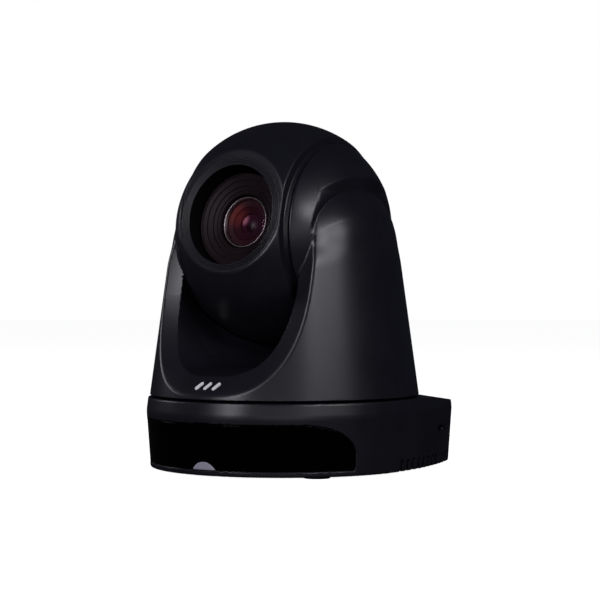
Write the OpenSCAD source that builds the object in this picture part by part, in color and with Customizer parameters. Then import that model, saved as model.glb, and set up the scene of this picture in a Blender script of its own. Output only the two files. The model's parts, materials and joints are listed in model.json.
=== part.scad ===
// Motorised pan, tilt and zoom conference camera, built as separate pieces.
// Millimetres. The origin is on the pan axis in the plane of the feet; the lens faces -Y and up is +Z.

/* [Base] */
// Radius of the round front of the base at its widest line
base_r = 71.3; // [65:0.1:80]
// Distance from the pan axis to the flat back
base_back = 75; // [60:0.5:90]
// Radius of the long side curves behind the pan axis
base_side_r = 204; // [150:1:300]
// Height of the widest line above the feet
base_line_z = 30; // [25:0.1:35]
// Height of the base's flat top at the front
base_top_z = 37; // [33:0.1:40]
// Wall thickness of the plastic covers
wall = 2.2; // [1.6:0.1:3]
// Number of ventilation slots on each side
vent_count = 11; // [0:1:14]
// Spacing of the ventilation slots
vent_pitch = 6; // [4:0.05:6.5]

/* [Window] */
// Half angle of the infrared window about the front
window_half_angle = 65; // [40:1:80]
// Lower edge of the window
window_z0 = 3.9; // [3:0.1:8]
// Upper edge of the window at the front
window_z1 = 26.6; // [20:0.1:28]

/* [Rotor] */
// Height of the rotor's lower edge
rotor_z = 38; // [36:0.1:40]
// Radius of the rotor at its lower edge
rotor_r = 69.55; // [60:0.05:75]
// Loss of rotor radius for each millimetre of height
rotor_lean = 0.137; // [0.05:0.001:0.25]
// Half width of the front opening where it cuts the rotor's skin
throat_outer = 45.4; // [40:0.1:50]
// Half width of the channel that holds the head
throat_inner = 35.3; // [35:0.1:40]

/* [Head] */
// Height of the tilt axis
tilt_z = 121; // [115:0.1:130]
// Radius of the head's sphere
head_r = 57.6; // [50:0.1:62]
// Half width of the head's outer skin
head_half = 30.5; // [28:0.1:34]
// Half width of the head over its side rims
head_rim = 32.6; // [30:0.1:35]
// Half width of the slot between the rotor's domes
dome_inner = 33.4; // [31:0.1:36]
// Distance from the tilt axis to the flat land around the lens opening
lens_land = 48.2; // [44:0.1:52]
// Drop of the lens axis below the tilt axis
lens_drop = 1.5; // [0:0.1:4]
// Pitch of the lens above level, as stored
rest_pitch = 12.5; // [-30:0.5:90]
// Radius of the domes that cap the rotor's arms
dome_r = 56.5; // [50:0.1:60]

/* [Drives] */
// Teeth on the fixed pan pulley
pan_teeth = 44; // [30:1:60]
// Teeth on the head's tilt pulley
tilt_teeth = 40; // [30:1:60]
// Teeth on both motor pulleys
motor_teeth = 12; // [10:1:20]

/* [Hidden] */
$fn = 96;
eps = 0.01;
seam = 0.1;
tooth = 3.14159;
pan_pulley_r = pan_teeth * tooth / (2 * PI);
tilt_pulley_r = tilt_teeth * tooth / (2 * PI);
motor_pulley_r = motor_teeth * tooth / (2 * PI);
belt_gap = 0.35;
belt_t = 1.1;
pan_motor_x = 49;
tilt_motor_z = 78;
pulley_z = 48.5;
base_lean = 0.0724;
side_x = base_side_r - base_r + 0.25;
plastic = [0.07, 0.065, 0.08];
steel = [0.62, 0.63, 0.65];
brass = [0.75, 0.6, 0.3];
board_green = [0.05, 0.25, 0.14];

// ---------- shared shapes ----------

// The base's outline from z0 to z1, its walls grown by grow0 at the bottom and grow1 at the top
module base_slice(z0, z1, grow0, grow1, back) {
  translate([0, 0, z0])
    cylinder(h = z1 - z0, r1 = base_r + grow0, r2 = base_r + grow1);
  intersection() {
    translate([-side_x, 0, z0])
      cylinder(h = z1 - z0, r1 = base_side_r + grow0, r2 = base_side_r + grow1, $fn = 256);
    translate([side_x, 0, z0])
      cylinder(h = z1 - z0, r1 = base_side_r + grow0, r2 = base_side_r + grow1, $fn = 256);
    translate([-80, 0, z0])
      cube([160, back, z1 - z0]);
  }
}

function base_grow(z) = -base_lean * (base_line_z - z);

module base_body(inset, z0, z1) {
  base_slice(z0, z1, base_grow(z0) - inset, base_grow(z1) - inset, base_back - inset);
}

// What lies outside a rounded rear corner whose faces are moved in by inset
module base_corner(r, inset) {
  for (s = [0, 1])
    mirror([s, 0, 0])
      translate([57.1 - 0.68 * r - 1.45 * inset, base_back - r + 0.15 - inset, -1])
        linear_extrude(40)
          difference() {
            polygon([[0, 0], [30, 11.5], [30, 30], [0, 30]]);
            circle(r, $fn = 64);
          }
}

// Side view of the infrared window, as points (y, z)
function window_corner(i, n) =
  let (a = 41.8 + (window_half_angle - 41.8) * i / n)
  let (s = (a - 41.8) / (window_half_angle + 0.15 - 41.8))
  [-base_r * cos(a), 11.6 + (window_z1 - 11.6) * sqrt(1 - s * s)];

module window_side(inset) {
  n = 14;
  offset(delta = -inset)
    polygon(concat(
      [[-base_r - 5, window_z0], [-base_r * cos(window_half_angle) - 1.2, window_z0]],
      [[-base_r * cos(window_half_angle), window_z0 + 1.6]],
      [for (i = [n:-1:0]) window_corner(i, n)],
      [[-base_r - 5, window_z1]]
    ));
}

module window_prism(inset) {
  rotate([90, 0, 90])
    linear_extrude(160, center = true)
      window_side(inset);
}

module light_tab(inset, y0, y1) {
  translate([0, y1, window_z0 - 0.4])
    rotate([90, 0, 0])
      linear_extrude(y1 - y0)
        intersection() {
          translate([0, -3.7])
            circle(8.1 - inset, $fn = 48);
          translate([-8, inset])
            square([16, 9]);
        }
}

function rotor_at(z) = rotor_r - rotor_lean * (z - rotor_z);

module rotor_cone(inset, z0, z1) {
  translate([0, 0, z0])
    cylinder(h = z1 - z0, r1 = rotor_at(z0) - inset, r2 = rotor_at(z1) - inset, $fn = 128);
}

// Points of one U-shaped curve: half width a, lowest point z0, centre height zc, squareness n
function u_point(t, a, z0, zc, n) =
  [a * sign(cos(t)) * pow(abs(cos(t)), 2 / n), zc - (zc - z0) * pow(sin(t), 2 / n)];

// A ring of the throat at depth y, raised straight up at both ends
function throat_ring(y, a, z0, zc, n, m) = concat(
  [[a, y, 190]],
  [for (i = [0:m]) let (p = u_point(180 * i / m, a, z0, zc, n)) [p[0], y, p[1]]],
  [[-a, y, 190]]
);

// The bevelled mouth: its inner edge follows the rotor at a depth, its outer edge runs out past the skin
function mouth_y(x, z, depth) = -sqrt(max(1, pow(rotor_at(z) - depth, 2) - x * x));

function mouth_inner(t, g) =
  let (p = u_point(t, throat_inner + 0.7 - g, 49.5 + g, 108, 3.1))
  let (d = 6 + 2 * (1 - sin(t)) - g)
  [p[0], mouth_y(p[0], p[1], d), p[1]];

function mouth_outer(t, g) =
  let (p = u_point(t, throat_outer - g * 0.3, 40 + g * 0.3, 108, 3.1))
  [p[0], mouth_y(p[0], p[1], -g), p[1]];

function mouth_ring(k, g, m) =
  let (pts = [for (i = [0:m])
    let (a = mouth_inner(180 * i / m, g))
    let (b = mouth_outer(180 * i / m, g))
    a + (b - a) * k])
  concat(
    [[pts[0][0], pts[0][1] - k * 2, 190]],
    pts,
    [[pts[m][0], pts[m][1] - k * 2, 190]]
  );

// The same outline moved into the plane y = -95, well clear of the skin
function flat_ring(r) = [for (p = r) [p[0], -95, p[2]]];

function flip_ring(r) = [for (p = r) [p[0], -p[1], p[2]]];

module loft(rings) {
  n = len(rings[0]);
  last = (len(rings) - 1) * n;
  polyhedron(
    points = [for (r = rings) each r],
    faces = concat(
      [[for (i = [0:n - 1]) i]],
      [for (k = [0:len(rings) - 2]) for (i = [0:n - 1])
        let (j = (i + 1) % n)
        each [[k * n + i, (k + 1) * n + i, (k + 1) * n + j], [k * n + i, (k + 1) * n + j, k * n + j]]],
      [[for (i = [n - 1:-1:0]) last + i]]
    ),
    convexity = 6
  );
}

// The throat between the arms, open at the front, top and back; g makes it smaller
module throat(g) {
  m = 26;
  front = [
    flat_ring(mouth_ring(3, g, m)),
    mouth_ring(3, g, m),
    mouth_ring(0, g, m),
    throat_ring(-34, throat_inner + 0.3 - g, 54.6 + g, 114, 3.2, m),
    throat_ring(-20, throat_inner - g, 59.6 + g, 118, 4.2, m),
    throat_ring(-8, throat_inner - g, 61.7 + g, 121, 5.2, m)
  ];
  back = [for (i = [len(front) - 1:-1:0]) flip_ring(front[i])];
  loft(concat(front, back));
}

// Room for the head to tilt in
module head_room(g) {
  x = throat_inner - g;
  translate([0, 0, tilt_z])
    along_x()
      rotate_extrude($fn = 128)
        polygon(concat([[0, -x]], skin_arc(head_r + 0.9 - g, -x, x, 24), [[0, x]]));
}

module head_space(g) {
  throat(g);
  head_room(g);
}

// Outline of an arm seen from the side, as points (y, z)
function arm_top(i, n, w, h) =
  let (t = 180 * i / n)
  [w * sign(cos(t)) * pow(abs(cos(t)), 0.9), tilt_z + h * pow(sin(t), 0.9)];

module arm_side(inset) {
  n = 28;
  w = 34 - inset;
  polygon(concat(
    [[80, rotor_z - 5], [80, 88], [44, 96], [38.5, 106]],
    [for (i = [0:n]) arm_top(i, n, w, 24.5 - inset)],
    [[-38.5, 106], [-44, 96], [-80, 88], [-80, rotor_z - 5]]
  ));
}

module arm_body(inset) {
  intersection() {
    rotor_cone(inset, rotor_z - (inset > 0 ? 1 : 0), 150);
    rotate([90, 0, 90])
      linear_extrude(160, center = true)
        arm_side(inset);
    union() {
      translate([0, 0, tilt_z])
        sphere(dome_r + 1.8 - inset);
      translate([-90, -90, 0])
        cube([180, 180, tilt_z + 2]);
    }
  }
}

// The two domes that cap the arms, on each side of the slot for the head
module domes(inset) {
  x = dome_inner + inset;
  difference() {
    intersection() {
      translate([0, 0, tilt_z])
        sphere(dome_r - inset);
      translate([-70, -70, 90])
        cube([140, 140, 100]);
    }
    translate([-x, -90, 80])
      cube([2 * x, 180, 120]);
  }
}

module yoke_shell() {
  difference() {
    union() {
      difference() {
        arm_body(0);
        head_space(0);
      }
      domes(0);
    }
    difference() {
      arm_body(wall);
      head_space(-wall);
    }
    domes(wall);
    for (s = [-1, 1])
      translate([s * 31, 0, tilt_z])
        rotate([0, s * 90, 0])
          cylinder(h = 10, r = 8.5, $fn = 48);
  }
}

module front_half() {
  intersection() {
    children();
    translate([-90, -90 - seam, 0])
      cube([180, 90, 200]);
  }
}

module rear_half() {
  intersection() {
    children();
    translate([-90, seam, 0])
      cube([180, 90, 200]);
  }
}

// Lens frame: +Z runs along the lens axis out of the head, the origin is on the tilt axis
module lens_frame() {
  translate([0, 0, tilt_z])
    rotate([90 - rest_pitch, 0, 0])
      translate([0, -lens_drop, 0])
        children();
}

module tilt_frame() {
  translate([0, 0, tilt_z])
    rotate([-rest_pitch, 0, 0])
      children();
}

module along_x() {
  rotate([0, 90, 0])
    children();
}

module tooth_wheel(teeth, h) {
  r = teeth * tooth / (2 * PI);
  linear_extrude(h)
    polygon([for (i = [0:teeth * 4 - 1])
      let (a = 360 * (i + 0.5) / (teeth * 4))
      let (rr = (i % 4 < 2) ? r : r - 0.9)
      [rr * cos(a), rr * sin(a)]]);
}

module pulley(teeth, h, bore) {
  r = teeth * tooth / (2 * PI);
  difference() {
    union() {
      tooth_wheel(teeth, h);
      cylinder(h = 0.8, r = r + 0.9);
      translate([0, 0, h - 0.8])
        cylinder(h = 0.8, r = r + 0.9);
    }
    translate([0, 0, -1])
      cylinder(h = h + 2, r = bore, $fn = 48);
  }
}

// A belt loop around a big pulley at the origin and a small one at distance d along +X
module belt(r1, r2, d, h) {
  linear_extrude(h)
    difference() {
      belt_outline(r1 + belt_gap + belt_t, r2 + belt_gap + belt_t, d);
      belt_outline(r1 + belt_gap, r2 + belt_gap, d);
    }
}

module belt_outline(r1, r2, d) {
  c = (r1 - r2) / d;
  s = sqrt(1 - c * c);
  circle(r1);
  translate([d, 0])
    circle(r2, $fn = 48);
  polygon([[r1 * c, r1 * s], [r1 * c, -r1 * s], [d + r2 * c, -r2 * s], [d + r2 * c, r2 * s]]);
}

// A pan-head screw; its head stands on z = 0 and the thread points down
module screw(r, len) {
  difference() {
    union() {
      translate([0, 0, -len])
        cylinder(h = len + 0.1, r = r, $fn = 24);
      cylinder(h = r * 1.1, r1 = r * 1.9, r2 = r * 1.5, $fn = 32);
    }
    translate([-r * 1.1, -r * 0.2, r * 0.5])
      cube([r * 2.2, r * 0.4, r]);
    translate([-r * 0.2, -r * 1.1, r * 0.5])
      cube([r * 0.4, r * 2.2, r]);
  }
}

module ring(h, r_out, r_in) {
  difference() {
    cylinder(h = h, r = r_out);
    translate([0, 0, -1])
      cylinder(h = h + 2, r = r_in);
  }
}

// ---------- base ----------

module base_housing() {
  color(plastic)
    union() {
      housing_shell();
      screw_bosses();
    }
}

module screw_bosses() {
  for (p = plate_screw_points)
    translate([p[0], p[1], 3.1])
      difference() {
        cylinder(h = 26.2, r = 3.4, $fn = 48);
        translate([0, 0, -1])
          cylinder(h = 10, r = 1.56, $fn = 32);
      }
}

module housing_shell() {
  difference() {
    union() {
      base_body(0, 1, base_line_z);
      intersection() {
        base_slice(base_line_z, base_top_z, 0, -0.9, base_back - 0.6);
        base_crown();
      }
    }
    base_corner(3.5, 0);
    difference() {
      base_body(wall, 0, 29);
      base_corner(4, wall);
    }
    translate([0, 0, 28])
      cylinder(h = 5.5, r = 52);
    cylinder(h = 60, r = 27);
    window_cut();
    vent_cut();
    rear_cut();
    lock_slot();
    difference() {
      translate([50, 54.8, 18.8])
        cube([20, 4.6, 2.2]);
      base_body(0.6, 1, 29.5);
    }
  }
}

// The base's top falls away around the rotor
module base_crown() {
  translate([0, 0, base_line_z - 1])
    cylinder(h = base_top_z - base_line_z + 1, r1 = 121.5, r2 = 70.9);
}

module lock_slot() {
  translate([50, 45.5, 18.3])
    cube([20, 8, 3.2]);
}

module window_cut() {
  intersection() {
    difference() {
      base_body(-5, window_z0, window_z1);
      base_body(1.3, 0, 30);
    }
    window_prism(0);
    translate([-90, -90, 0])
      cube([180, 70, 40]);
  }
  translate([0, -base_r + 4, 15])
    rotate([90, 0, 0])
      linear_extrude(8, center = true)
        square([34, 14], center = true);
}

module vent_cut() {
  for (s = [-1, 1], i = [0:vent_count - 1])
    translate([s * 66, 3.5 + i * vent_pitch, 3.3])
      cube([24, 2.4, 7], center = true);
}

module rear_cut() {
  translate([-47, base_back - 8, 4.4])
    cube([94, 12, 21.2]);
}

module base_plate() {
  color(steel)
    difference() {
      base_slice(1.2, 3, plate_grow, plate_grow, base_back - wall - 0.3);
      base_corner(4, -plate_grow);
      cylinder(h = 10, r = 5.1);
      plate_points(bracket_points, 3.1, 10);
      plate_points(plate_screw_points, 1.6, 10);
      plate_points(plate_screw_points, 3.1, 3.1);
      plate_points(board_points, 1.3, 10);
    }
}

plate_grow = base_grow(1.2) - wall - 0.3;
bracket_points = [[-25, -20], [25, -20], [-25, 20], [25, 20]];
plate_screw_points = [[-56, -14], [56, -14], [-53.5, 42], [53.5, 42]];
board_points = [[-40, 0], [40, 0], [-38, 52], [38, 52]];
deck_points = [[-40, -24], [40, -24], [-33, 33], [33, 33]];
flange_points = [[-17, 0], [17, 0], [0, -17], [0, 17]];
foot_points = [[-46, -38], [46, -38], [-40, 56], [40, 56]];

module plate_points(points, r, h) {
  for (p = points)
    translate([p[0], p[1], -1])
      cylinder(h = h + 1, r = r, $fn = 32);
}

module ir_window() {
  color([0.01, 0.01, 0.012])
    difference() {
      intersection() {
        difference() {
          base_body(0.05, window_z0, window_z1);
          base_body(1.2, 0, 30);
        }
        window_prism(0.12);
        translate([-90, -90, 0])
          cube([180, 70, 40]);
      }
      light_tab(-0.1, -80, -60);
    }
}

module status_light_pipe() {
  color([0.55, 0.54, 0.6])
    difference() {
      intersection() {
        base_body(-0.1, window_z0 + 0.1, 12);
        light_tab(0.05, -80, -66);
      }
      base_body(1.2, 0, 30);
    }
}

module ir_receiver() {
  color([0.06, 0.05, 0.07])
    translate([9, -62, 15]) {
      translate([-3.2, 0, -3.6])
        cube([6.4, 3, 7.2]);
      rotate([90, 0, 0])
        cylinder(h = 1.8, r = 2.6, $fn = 32);
    }
  color(steel)
    for (i = [-1, 0, 1])
      translate([9 + i * 2 - 0.3, -60, 8.95])
        cube([0.6, 0.6, 2.6]);
}

module rear_panel() {
  color([0.1, 0.1, 0.11])
    difference() {
      translate([-46.7, base_back - 3.2, 4.7])
        cube([93.4, 1.8, 20.6]);
      translate([0, base_back - 2, 0]) {
        translate([port_x[0], 0, 13])
          rotate([90, 0, 0])
            cylinder(h = 8, r = 4.6, center = true, $fn = 48);
        for (i = [4, 5])
          translate([port_x[i], 0, 14])
            rotate([90, 0, 0])
              cylinder(h = 8, r = 5.4, center = true, $fn = 48);
        translate([port_x[6], 0, 13])
          rotate([90, 0, 0])
            cylinder(h = 8, r = 3.6, center = true, $fn = 48);
        translate([port_x[1] - 7.8, -4, 9.3])
          cube([15.6, 8, 6.4]);
        translate([port_x[2] - 6.9, -4, 9.3])
          cube([13.8, 8, 6.8]);
        translate([port_x[3] - 8.2, -4, 7.4])
          cube([16.4, 8, 14]);
      }
    }
}

port_x = [40, 26.5, 10.3, -6.5, -20.5, -31.2, -40.6];

module dc_jack() {
  color([0.03, 0.03, 0.03])
    translate([port_x[0], base_back - 1, 13])
      rotate([90, 0, 0])
        difference() {
          union() {
            cylinder(h = 12.5, r = 4.5, $fn = 48);
            translate([-4.5, -5, 2.6])
              cube([9, 10, 10.4]);
          }
          translate([0, 0, -0.5])
            cylinder(h = 10.5, r = 2.85, $fn = 48);
        }
  color(steel)
    translate([port_x[0], base_back - 2, 13])
      rotate([90, 0, 0])
        cylinder(h = 9.5, r = 1.05, $fn = 24);
}

module hdmi_port() {
  color(steel)
    translate([port_x[1], base_back - 1.2, 12.5])
      rotate([90, 0, 0])
        difference() {
          linear_extrude(12)
            hdmi_outline(0.5);
          translate([0, 0, -0.5])
            linear_extrude(11.5)
              hdmi_outline(0);
        }
  color([0.02, 0.02, 0.02])
    translate([port_x[1] - 5.9, base_back - 12.6, 12.2])
      cube([11.8, 10, 1.1]);
}

module hdmi_outline(g) {
  polygon([
    [-7 - g, 2.3 + g], [-7 - g, -0.6 - g / 2], [-5.4 - g / 2, -2.3 - g],
    [5.4 + g / 2, -2.3 - g], [7 + g, -0.6 - g / 2], [7 + g, 2.3 + g]
  ]);
}

module usb_port() {
  color(steel)
    translate([port_x[2] - 6.6, base_back - 15, 9.6])
      difference() {
        cube([13.2, 13.8, 6.2]);
        translate([0.5, 1, 0.5])
          cube([12.2, 14, 5.2]);
      }
  color([0.02, 0.1, 0.4])
    translate([port_x[2] - 5.4, base_back - 14.2, 12.9])
      cube([10.8, 11, 1.9]);
}

module lan_port() {
  color(steel)
    translate([port_x[3] - 8, base_back - 17, 7.6])
      difference() {
        cube([16, 15.8, 13.6]);
        translate([1.9, 2, 3.4])
          cube([12.2, 15, 8.4]);
        translate([5, 2, 1])
          cube([6, 15, 4]);
      }
  color(brass)
    for (i = [0:7])
      translate([port_x[3] - 4.5 + i * 1.2, base_back - 14.6, 18.55])
        cube([0.5, 9, 0.5]);
}

module serial_ports() {
  for (i = [4, 5])
    translate([port_x[i], base_back - 1, 14])
      rotate([90, 0, 0]) {
        color(steel)
          difference() {
            cylinder(h = 11, r = 5.2, $fn = 48);
            translate([0, 0, -1])
              cylinder(h = 10, r = 4.6, $fn = 48);
          }
        color([0.02, 0.02, 0.02])
          difference() {
            translate([0, 0, 2.4])
              cylinder(h = 6.7, r = 4.1, $fn = 48);
            for (k = [0:7])
              rotate([0, 0, 22.5 + k * 45])
                translate([2.6, 0, 0])
                  cylinder(h = 7, r = 0.4, $fn = 12);
            translate([-1, -4.6, 0])
              cube([2, 1.4, 7]);
          }
      }
}

module audio_jack() {
  color([0.12, 0.4, 0.2])
    translate([port_x[6], base_back - 0.8, 13])
      rotate([90, 0, 0])
        difference() {
          union() {
            cylinder(h = 12, r = 3.5, $fn = 48);
            translate([-3.5, -4, 2.8])
              cube([7, 8, 11]);
          }
          translate([0, 0, -1])
            cylinder(h = 13, r = 1.8, $fn = 32);
        }
}

module main_board() {
  color(board_green)
    difference() {
      translate([-48, -10, 6])
        cube([96, 78, 1.4]);
      cylinder(h = 10, r = 9);
      plate_points(board_points, 1.5, 12);
      plate_points(bracket_points, 3.4, 12);
      plate_points(deck_points, 3.4, 12);
    }
}

module board_chips() {
  color([0.03, 0.03, 0.035]) {
    translate([-9, 30, 7.4])
      cube([18, 18, 1.6]);
    translate([16, 32, 7.4])
      cube([12, 9, 1.2]);
    translate([-27, 32, 7.4])
      cube([12, 9, 1.2]);
    translate([16, 12, 7.4])
      cube([8, 8, 1]);
    translate([-34, 8, 7.4])
      cube([7, 10, 1.2]);
  }
  color([0.3, 0.3, 0.32])
    for (p = [[-36, 24], [34, 26], [34, 14], [-22, 18]])
      translate([p[0], p[1], 7.4])
        cylinder(h = 6.5, r = 3.1, $fn = 32);
}

module board_standoffs() {
  color(brass)
    for (p = board_points)
      translate([p[0], p[1], 3]) {
        cylinder(h = 3, r = 2.6, $fn = 6);
        translate([0, 0, -1.6])
          cylinder(h = 7.4, r = 1.2, $fn = 24);
        translate([0, 0, 4.5])
          cylinder(h = 1.8, r = 2.4, $fn = 32);
      }
}

module rubber_feet() {
  color([0.04, 0.04, 0.04])
    for (p = foot_points)
      translate([p[0], p[1], 0]) {
        cylinder(h = 1.2, r1 = 6.4, r2 = 7, $fn = 64);
      }
}

module tripod_insert() {
  color(brass)
    difference() {
      union() {
        cylinder(h = 6.8, r = 5, $fn = 48);
        translate([0, 0, 3.05])
          cylinder(h = 2.2, r = 7.5, $fn = 6);
      }
      translate([0, 0, -1])
        cylinder(h = 6.5, r = 2.6, $fn = 48);
    }
}

module bracket_nuts() {
  color(steel)
    for (p = bracket_points)
      translate([p[0], p[1], 1.2])
        difference() {
          union() {
            cylinder(h = 4.2, r = 3, $fn = 32);
            translate([0, 0, 1.85])
              cylinder(h = 2.35, r = 4, $fn = 6);
          }
          translate([0, 0, -1])
            cylinder(h = 7, r = 1.6, $fn = 32);
        }
}

module base_screws() {
  color(steel) {
    for (p = plate_screw_points)
      translate([p[0], p[1], 1.15])
        rotate([180, 0, 0])
          translate([0, 0, -0.9])
            screw_low();
    for (p = flange_points)
      translate([p[0], p[1], 33.2])
        screw(1.4, 4.2);
  }
}

// A countersunk screw, drawn thread down with its flat head level with z = 0.9
module screw_low() {
  difference() {
    union() {
      translate([0, 0, -8])
        cylinder(h = 8.1, r = 1.5, $fn = 24);
      cylinder(h = 0.9, r = 3, $fn = 32);
    }
    translate([-1.8, -0.3, 0.4])
      cube([3.6, 0.6, 1]);
    translate([-0.3, -1.8, 0.4])
      cube([0.6, 3.6, 1]);
  }
}

module lock_plate() {
  color(steel)
    difference() {
      intersection() {
        translate([50, 43, 14.9])
          cube([20, 13, 10]);
        base_body(wall + 0.1, 1, 29);
      }
      base_body(wall + 1.3, 0, 29.5);
      lock_slot();
    }
}

module pan_deck() {
  color(steel)
    difference() {
      union() {
        translate([0, 0, 28.4])
          cylinder(h = 1.8, r = 50);
        for (p = deck_points)
          translate([p[0], p[1], 3.05])
            cylinder(h = 25.4, r = 3, $fn = 32);
      }
      cylinder(h = 60, r = 9);
      translate([0, 0, 27])
        plate_points(flange_points, 1.45, 8);
    }
}

module pan_spindle() {
  color([0.5, 0.51, 0.53])
    difference() {
      union() {
        translate([0, 0, 30.25])
          cylinder(h = 2.95, r = 24);
        cylinder(h = 57, r = 12);
      }
      translate([0, 0, -1])
        cylinder(h = 31.25, r = 13);
      cylinder(h = 60, r = 8);
      plate_points(flange_points, 1.45, 60);
    }
}

module pan_bearing_inner() {
  color(steel)
    difference() {
      translate([0, 0, 40.8])
        ring(6, 14.8, 12.02);
      groove(43.8, 17.2, 2.6);
    }
}

module groove(z, r, minor) {
  translate([0, 0, z])
    rotate_extrude()
      translate([r, 0])
        circle(minor, $fn = 32);
}

module pan_fixed_pulley() {
  color([0.75, 0.74, 0.7])
    translate([0, 0, pulley_z])
      pulley(pan_teeth, 7.6, 12.02);
}

// ---------- rotor ----------

module yoke_platform() {
  color([0.13, 0.13, 0.14])
    difference() {
      union() {
        translate([0, 0, 38])
          cylinder(h = 2.4, r = 64);
        translate([0, 0, 38])
          cylinder(h = 9.4, r = 25.6);
      }
      translate([0, 0, 36])
        cylinder(h = 20, r = 12.6);
      translate([0, 0, 40.4])
        cylinder(h = 20, r = 22.02);
      translate([0, 0, 36])
        plate_points(yoke_points, 1.6, 8);
    }
}

yoke_points = [[-50, -28], [50, -28], [-50, 28], [50, 28]];

module pan_bearing_outer() {
  color(steel)
    difference() {
      translate([0, 0, 40.8])
        ring(6, 22, 18.9);
      groove(43.8, 16.9, 2.5);
    }
}

module pan_bearing_balls() {
  color(steel)
    for (i = [0:15])
      rotate([0, 0, i * 22.5])
        translate([17.05, 0, 43.8])
          sphere(1.9, $fn = 32);
}

module yoke_front_cover() {
  color(plastic)
    difference() {
      front_half()
        yoke_shell();
      badge_place()
        translate([0, 0, -0.6])
          linear_extrude(2)
            badge_outline(0.1);
    }
}

module yoke_rear_cover() {
  color(plastic)
    rear_half()
      yoke_shell();
}

// Middle of the front bevel; +Z leaves the bevel's face
module badge_place() {
  translate([0, -65.63, 44.75])
    rotate([52.4, 0, 0])
      children();
}

// Three slanted bars with round ends
module badge_outline(g) {
  for (x = [-5.2, 0, 5.2])
    translate([x, 0])
      rotate([0, 0, -38]) {
        square([2 + 2 * g, 3.4], center = true);
        for (y = [-1.7, 1.7])
          translate([0, y])
            circle(1 + g, $fn = 32);
      }
}

module badge() {
  color([0.75, 0.75, 0.78])
    badge_place()
      translate([0, 0, -0.55])
        linear_extrude(0.67)
          badge_outline(0);
}

module side_frame(x, notch) {
  difference() {
    union() {
      translate([x, -17, 40.45])
        cube([1.6, 34, 72]);
      translate([x, 0, tilt_z])
        along_x()
          cylinder(h = 1.6, r = 14);
      translate([x, -9, 100])
        cube([1.6, 18, 20]);
      translate([x > 0 ? x : x - 7, -19.5, 40.45])
        cube([8.6, 39, 1.6]);
    }
    translate([x - 2, 0, tilt_z])
      along_x()
        cylinder(h = 6, r = 9.02);
    if (notch) {
      translate([x - 2, -12.4, 42.05])
        cube([14, 24.8, 36]);
      for (s = [-1, 1])
        translate([pan_motor_x, s * 14.6, 40])
          cylinder(h = 4, r = 2.3, $fn = 32);
    }
    if (!notch)
      translate([x - 2, 0, tilt_motor_z])
        along_x()
          cylinder(h = 6, r = 8);
    translate([x - 2, -6, 84.5])
      cube([6, 12, 20]);
  }
}

module left_frame() {
  color(steel)
    side_frame(-46, false);
}

module right_frame() {
  color(steel)
    side_frame(44.4, true);
}

module pan_motor() {
  color([0.55, 0.56, 0.58])
    translate([pan_motor_x, 0, 58.6]) {
      cylinder(h = 16.5, r = 10.6);
      translate([0, 0, 16.5])
        cylinder(h = 1.2, r = 4);
    }
}

module pan_motor_bracket() {
  color(steel)
    difference() {
      union() {
        translate([pan_motor_x - 7, -12, 57.4])
          cube([12, 24, 1.2]);
        translate([pan_motor_x - 2.6, -16.8, 57.4])
          cube([7.6, 33.6, 1.2]);
        for (s = [-1, 1])
          translate([pan_motor_x, s * 14.6, 40.45])
            cylinder(h = 17, r = 2, $fn = 32);
      }
      translate([pan_motor_x, 0, 50])
        cylinder(h = 10, r = 3.4, $fn = 48);
    }
}

module pan_belt() {
  color([0.05, 0.05, 0.05])
    translate([0, 0, pulley_z + 1.2])
      belt(pan_pulley_r, motor_pulley_r, pan_motor_x, 5.2);
}

module tilt_motor() {
  color([0.55, 0.56, 0.58])
    translate([-46.1, 0, tilt_motor_z])
      rotate([0, -90, 0])
        cylinder(h = 12, r = 10.6);
}

module tilt_belt() {
  color([0.05, 0.05, 0.05])
    translate([-42.6, 0, tilt_z])
      rotate([0, 90, 0])
        belt(tilt_pulley_r, motor_pulley_r, tilt_z - tilt_motor_z, 3.6);
}

module tilt_bearings() {
  color(steel)
    for (x = [-47.6, 43.7])
      translate([x, 0, tilt_z])
        along_x() {
          difference() {
            cylinder(h = 3.9, r = 9);
            translate([0, 0, -1])
              cylinder(h = 6, r = 5.05, $fn = 64);
            translate([0, 0, -0.01])
              ring(0.5, 7.9, 6.2);
            translate([0, 0, 3.42])
              ring(0.5, 7.9, 6.2);
          }
        }
}

module driver_board() {
  color(board_green)
    translate([-19, 27, 40.45])
      cube([38, 24, 1.4]);
  color([0.03, 0.03, 0.035])
    for (x = [-13, -2, 9])
      translate([x, 34, 41.85])
        cube([6, 6, 1.1]);
  color([0.85, 0.84, 0.8])
    for (x = [-15, 5])
      translate([x, 44, 41.85])
        cube([10, 4.5, 3.2]);
}

module yoke_screws() {
  color(steel)
    for (p = yoke_points)
      translate([p[0], p[1], 40.4])
        screw(1.5, 2.2);
}

module pan_motor_pulley() {
  color([0.75, 0.74, 0.7])
    translate([pan_motor_x, 0, pulley_z])
      pulley(motor_teeth, 7.6, 1.55);
  color(steel)
    translate([pan_motor_x, 0, pulley_z - 1])
      cylinder(h = 10.7, r = 1.5, $fn = 32);
}

module tilt_motor_pulley() {
  color([0.75, 0.74, 0.7])
    translate([-38, 0, tilt_motor_z])
      rotate([0, -90, 0])
        pulley(motor_teeth, 5.6, 1.55);
  color(steel)
    translate([-37.8, 0, tilt_motor_z])
      rotate([0, -90, 0])
        cylinder(h = 7.9, r = 1.5, $fn = 32);
}

// ---------- head ----------

// Points of an arc of radius r, from distance x0 to x1 along the tilt axis
function skin_arc(r, x0, x1, n) = [for (i = [0:n])
  let (a = asin(x0 / r) + (asin(x1 / r) - asin(x0 / r)) * i / n)
  [r * cos(a), r * sin(a)]];

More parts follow.
